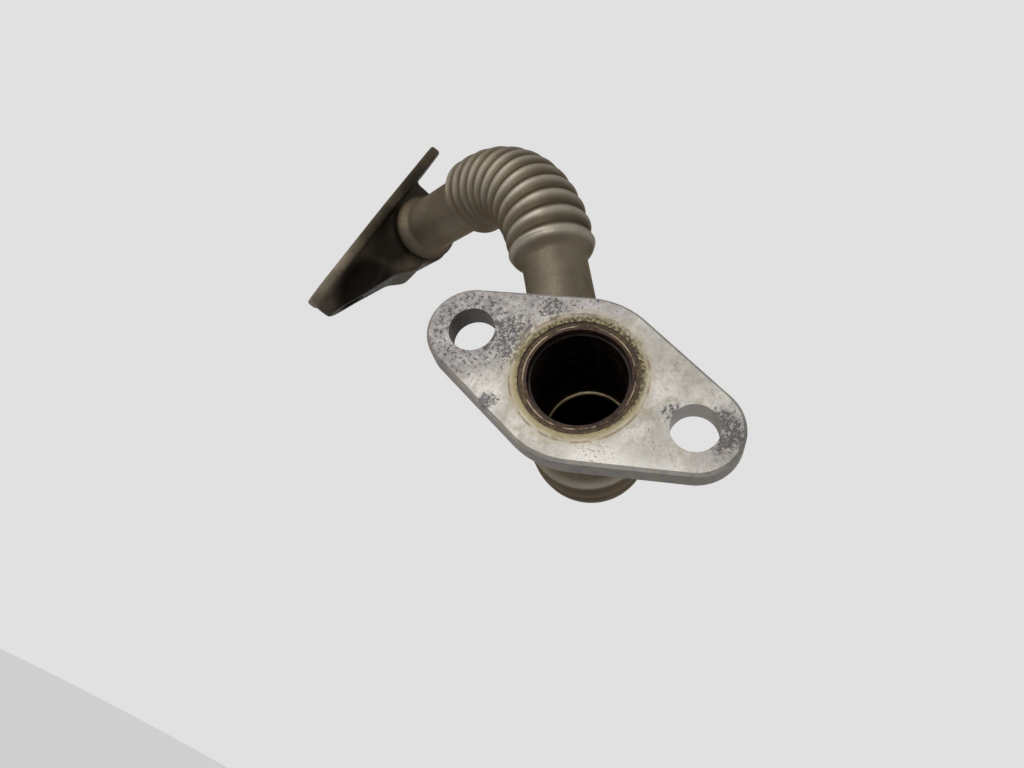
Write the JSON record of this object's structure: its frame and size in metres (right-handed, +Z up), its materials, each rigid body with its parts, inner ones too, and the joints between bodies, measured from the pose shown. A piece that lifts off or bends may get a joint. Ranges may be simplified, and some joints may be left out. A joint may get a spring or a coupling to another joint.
{
  "type": "turbo oil line",
  "caption": "Rigid oil line with corrugated bends between a flat brazed two-bolt flange and a cast two-bolt elbow flange with a side entry.",
  "frame": {"origin": "centre of the near flange's port, on its sealing face", "axes": "+X along the near bolt holes, +Y from the sealing face into the line, +Z up"},
  "size_m": [0.1777, 0.1518, 0.1288],
  "materials": {
    "flange_steel": "heat-stained machined steel",
    "ferrule_steel": "heat-tinted steel",
    "braze_filler": "dark oily braze",
    "tube_steel": "satin stainless with a brown heat tint",
    "casting": "rough cast, brown-grey"
  },
  "bodies": {
    "root": {"near_flange": "flange_steel", "near_ferrule": "ferrule_steel", "near_braze": "braze_filler", "oil_tube": "tube_steel", "far_flange": "casting"}
  },
  "joints": []
}
